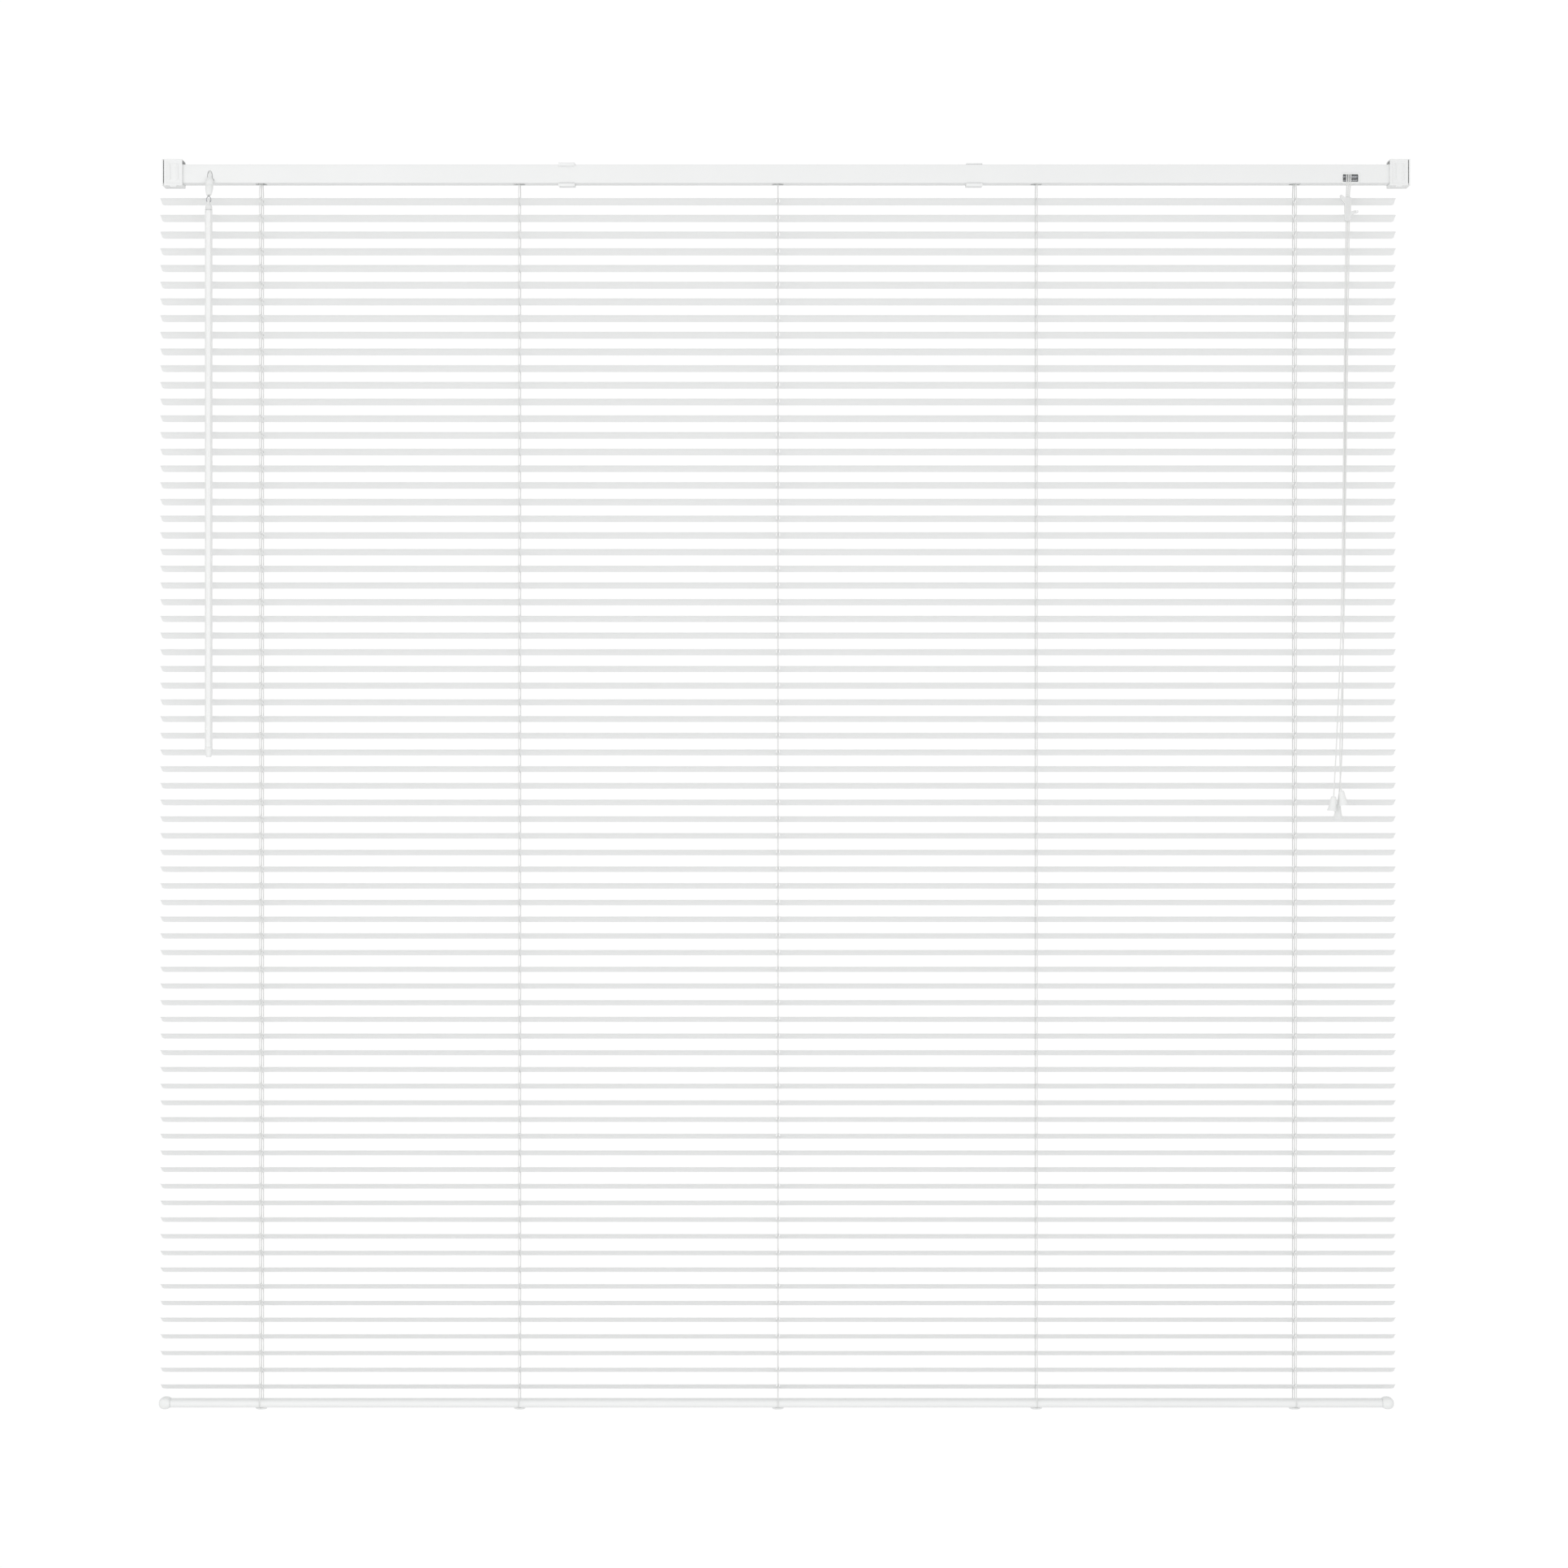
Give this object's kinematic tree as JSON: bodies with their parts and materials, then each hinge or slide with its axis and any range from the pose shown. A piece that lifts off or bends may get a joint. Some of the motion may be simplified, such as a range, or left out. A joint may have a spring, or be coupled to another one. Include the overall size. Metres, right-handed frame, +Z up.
{
  "type": "venetian blind",
  "caption": "Wide horizontal-slat venetian blind hung from a boxed headrail, with a tilt wand at the left, a cord lock and tasselled pull cords at the right and a capped bottom rail.",
  "frame": {"origin": "middle of the wall face of the left box bracket, on the plane of the wall that the headrail's brackets are screwed to", "axes": "+X along the headrail to the right as seen from the room, +Y out of the room into the wall, +Z up"},
  "size_m": [1.6053, 0.0542, 1.6046],
  "materials": {
    "white_steel": "semi-gloss white baked enamel on steel",
    "white_plastic": "moulded white plastic, satin",
    "white_slat": "white extruded PVC strip, satin",
    "white_rail": "white extruded PVC, satin",
    "clear_plastic": "milky translucent plastic, glossy",
    "plated_steel": "zinc plated",
    "bright_steel": "nickel plated",
    "cord_white": "braided white polyester cord"
  },
  "bodies": {
    "headrail": {"headrail": "white_steel", "left_box_bracket": "white_steel", "right_box_bracket": "white_steel", "left_support_bracket": "white_steel", "right_support_bracket": "white_steel", "drum_cradle_1": "white_plastic", "drum_cradle_2": "white_plastic", "drum_cradle_3": "white_plastic", "drum_cradle_4": "white_plastic", "drum_cradle_5": "white_plastic", "tilter_housing": "white_plastic", "cord_lock_housing": "white_plastic", "slats_01_12": "white_slat"},
    "tilt_shaft": {"tilt_rod": "plated_steel", "tilter_gear": "white_plastic", "tilt_drum_1": "white_plastic", "tilt_drum_2": "white_plastic", "tilt_drum_3": "white_plastic", "tilt_drum_4": "white_plastic", "tilt_drum_5": "white_plastic"},
    "worm": {"tilter_worm": "white_plastic"},
    "wand_hook": {"wand_hook": "bright_steel"},
    "wand": {"wand_sleeve": "clear_plastic", "wand": "clear_plastic", "wand_tip": "clear_plastic"},
    "left_gate": {"left_bracket_gate": "white_steel"},
    "right_gate": {"right_bracket_gate": "white_steel"},
    "lock_roller": {"cord_lock_roller": "bright_steel"},
    "pull_cords": {"pull_cord_1": "cord_white", "pull_cord_2": "cord_white", "pull_cord_3": "cord_white", "cord_tassel_1": "white_plastic", "cord_tassel_2": "white_plastic", "cord_tassel_3": "white_plastic", "cord_joiner": "clear_plastic"},
    "slats_2": {"slats_13_24": "white_slat"},
    "slats_3": {"slats_25_36": "white_slat"},
    "slats_4": {"slats_37_48": "white_slat"},
    "slats_5": {"slats_49_60": "white_slat"},
    "slats_6": {"slats_61_72": "white_slat"},
    "bottom_rail": {"bottom_rail": "white_rail", "bottom_rail_left_cap": "white_plastic", "bottom_rail_right_cap": "white_plastic", "ladder_plug_1": "white_plastic", "ladder_plug_2": "white_plastic", "ladder_plug_3": "white_plastic", "ladder_plug_4": "white_plastic", "ladder_plug_5": "white_plastic"},
    "front_ladder_1": {"front_ladder_01_12": "cord_white"},
    "rear_ladder_1": {"rear_ladder_01_12": "cord_white"},
    "front_ladder_2": {"front_ladder_13_24": "cord_white"},
    "rear_ladder_2": {"rear_ladder_13_24": "cord_white"},
    "front_ladder_3": {"front_ladder_25_36": "cord_white"},
    "rear_ladder_3": {"rear_ladder_25_36": "cord_white"},
    "front_ladder_4": {"front_ladder_37_48": "cord_white"},
    "rear_ladder_4": {"rear_ladder_37_48": "cord_white"},
    "front_ladder_5": {"front_ladder_49_60": "cord_white"},
    "rear_ladder_5": {"rear_ladder_49_60": "cord_white"},
    "front_ladder_6": {"front_ladder_61_72": "cord_white"},
    "rear_ladder_6": {"rear_ladder_61_72": "cord_white"}
  },
  "joints": [
    {"name": "slat_tilt", "type": "hinge", "parent": "headrail", "child": "tilt_shaft", "pos_m": [0.787, -0.016, -0.0005], "axis": [-1, 0, 0], "range_deg": [-75, 45]},
    {"name": "lift", "type": "slide", "parent": "headrail", "child": "slats_6", "axis": [0, 0, 1], "range_m": [0, 1.269], "deforming": ["slats_01_12", "slats_13_24", "slats_25_36", "slats_37_48", "slats_49_60", "slats_61_72", "front_ladder_01_12", "front_ladder_13_24", "front_ladder_25_36", "front_ladder_37_48", "front_ladder_49_60", "front_ladder_61_72", "rear_ladder_01_12", "rear_ladder_13_24", "rear_ladder_25_36", "rear_ladder_37_48", "rear_ladder_49_60", "rear_ladder_61_72"]},
    {"name": "worm_spin", "type": "hinge", "parent": "headrail", "child": "worm", "pos_m": [0.048, -0.02443, 0.00343], "axis": [0, -0.4226, -0.9063], "range_deg": [-1800, 1080]},
    {"name": "wand_spin", "type": "hinge", "parent": "headrail", "child": "wand_hook", "pos_m": [0.048, -0.04025, -0.0345], "axis": [0, 0, -1], "range_deg": [-1800, 1080]},
    {"name": "wand_swing", "type": "hinge", "parent": "wand_hook", "child": "wand", "pos_m": [0.048, -0.04025, -0.039], "axis": [-1, 0, 0], "range_deg": [0, 75]},
    {"name": "left_gate_hinge", "type": "hinge", "parent": "headrail", "child": "left_gate", "pos_m": [0, -0.03175, 0.0162], "axis": [-1, 0, 0], "range_deg": [0, 100]},
    {"name": "right_gate_hinge", "type": "hinge", "parent": "headrail", "child": "right_gate", "pos_m": [1.574, -0.03175, 0.0162], "axis": [-1, 0, 0], "range_deg": [0, 100]},
    {"name": "lock_roller_slide", "type": "slide", "parent": "headrail", "child": "lock_roller", "axis": [0, 0, 1], "range_m": [0, 0.002]},
    {"name": "cord_pull", "type": "slide", "parent": "headrail", "child": "pull_cords", "axis": [0, 0, -1], "range_m": [0, 1.269], "deforming": ["pull_cord_1", "pull_cord_2", "pull_cord_3"]},
    {"name": "slats_2_lift", "type": "slide", "parent": "headrail", "child": "slats_2", "axis": [0, 0, 1], "range_m": [0, 0.2538]},
    {"name": "slats_3_lift", "type": "slide", "parent": "headrail", "child": "slats_3", "axis": [0, 0, 1], "range_m": [0, 0.5076]},
    {"name": "slats_4_lift", "type": "slide", "parent": "headrail", "child": "slats_4", "axis": [0, 0, 1], "range_m": [0, 0.7614]},
    {"name": "slats_5_lift", "type": "slide", "parent": "headrail", "child": "slats_5", "axis": [0, 0, 1], "range_m": [0, 1.0152]},
    {"name": "bottom_rail_tilt", "type": "hinge", "parent": "slats_6", "child": "bottom_rail", "pos_m": [0.7745, -0.016, -1.5795], "axis": [-1, 0, 0], "range_deg": [-75, 45]},
    {"name": "front_ladder_1_slide", "type": "slide", "parent": "headrail", "child": "front_ladder_1", "axis": [0, 0, 1], "range_m": [-0.02147, 0.01289]},
    {"name": "rear_ladder_1_slide", "type": "slide", "parent": "front_ladder_1", "child": "rear_ladder_1", "axis": [0, 0, 1], "range_m": [-0.02577, 0.04294]},
    {"name": "front_ladder_2_slide", "type": "slide", "parent": "slats_2", "child": "front_ladder_2", "axis": [0, 0, 1], "range_m": [-0.02147, 0.01289]},
    {"name": "rear_ladder_2_slide", "type": "slide", "parent": "front_ladder_2", "child": "rear_ladder_2", "axis": [0, 0, 1], "range_m": [-0.02577, 0.04294]},
    {"name": "front_ladder_3_slide", "type": "slide", "parent": "slats_3", "child": "front_ladder_3", "axis": [0, 0, 1], "range_m": [-0.02147, 0.01289]},
    {"name": "rear_ladder_3_slide", "type": "slide", "parent": "front_ladder_3", "child": "rear_ladder_3", "axis": [0, 0, 1], "range_m": [-0.02577, 0.04294]},
    {"name": "front_ladder_4_slide", "type": "slide", "parent": "slats_4", "child": "front_ladder_4", "axis": [0, 0, 1], "range_m": [-0.02147, 0.01289]},
    {"name": "rear_ladder_4_slide", "type": "slide", "parent": "front_ladder_4", "child": "rear_ladder_4", "axis": [0, 0, 1], "range_m": [-0.02577, 0.04294]},
    {"name": "front_ladder_5_slide", "type": "slide", "parent": "slats_5", "child": "front_ladder_5", "axis": [0, 0, 1], "range_m": [-0.02147, 0.01289]},
    {"name": "rear_ladder_5_slide", "type": "slide", "parent": "front_ladder_5", "child": "rear_ladder_5", "axis": [0, 0, 1], "range_m": [-0.02577, 0.04294]},
    {"name": "front_ladder_6_slide", "type": "slide", "parent": "slats_6", "child": "front_ladder_6", "axis": [0, 0, 1], "range_m": [-0.02147, 0.01289]},
    {"name": "rear_ladder_6_slide", "type": "slide", "parent": "front_ladder_6", "child": "rear_ladder_6", "axis": [0, 0, 1], "range_m": [-0.02577, 0.04294]}
  ],
  "couplings": [
    {"joint": "worm_spin", "follows": "slat_tilt", "ratio": 24},
    {"joint": "wand_spin", "follows": "slat_tilt", "ratio": 24},
    {"joint": "cord_pull", "follows": "lift", "ratio": 1},
    {"joint": "slats_2_lift", "follows": "lift", "ratio": 0.2},
    {"joint": "slats_3_lift", "follows": "lift", "ratio": 0.4},
    {"joint": "slats_4_lift", "follows": "lift", "ratio": 0.6},
    {"joint": "slats_5_lift", "follows": "lift", "ratio": 0.8},
    {"joint": "bottom_rail_tilt", "follows": "slat_tilt", "ratio": 1},
    {"joint": "front_ladder_1_slide", "follows": "slat_tilt", "m_per_rad": 0.0164},
    {"joint": "rear_ladder_1_slide", "follows": "slat_tilt", "m_per_rad": -0.0328},
    {"joint": "front_ladder_2_slide", "follows": "slat_tilt", "m_per_rad": 0.0164},
    {"joint": "rear_ladder_2_slide", "follows": "slat_tilt", "m_per_rad": -0.0328},
    {"joint": "front_ladder_3_slide", "follows": "slat_tilt", "m_per_rad": 0.0164},
    {"joint": "rear_ladder_3_slide", "follows": "slat_tilt", "m_per_rad": -0.0328},
    {"joint": "front_ladder_4_slide", "follows": "slat_tilt", "m_per_rad": 0.0164},
    {"joint": "rear_ladder_4_slide", "follows": "slat_tilt", "m_per_rad": -0.0328},
    {"joint": "front_ladder_5_slide", "follows": "slat_tilt", "m_per_rad": 0.0164},
    {"joint": "rear_ladder_5_slide", "follows": "slat_tilt", "m_per_rad": -0.0328},
    {"joint": "front_ladder_6_slide", "follows": "slat_tilt", "m_per_rad": 0.0164},
    {"joint": "rear_ladder_6_slide", "follows": "slat_tilt", "m_per_rad": -0.0328}
  ]
}
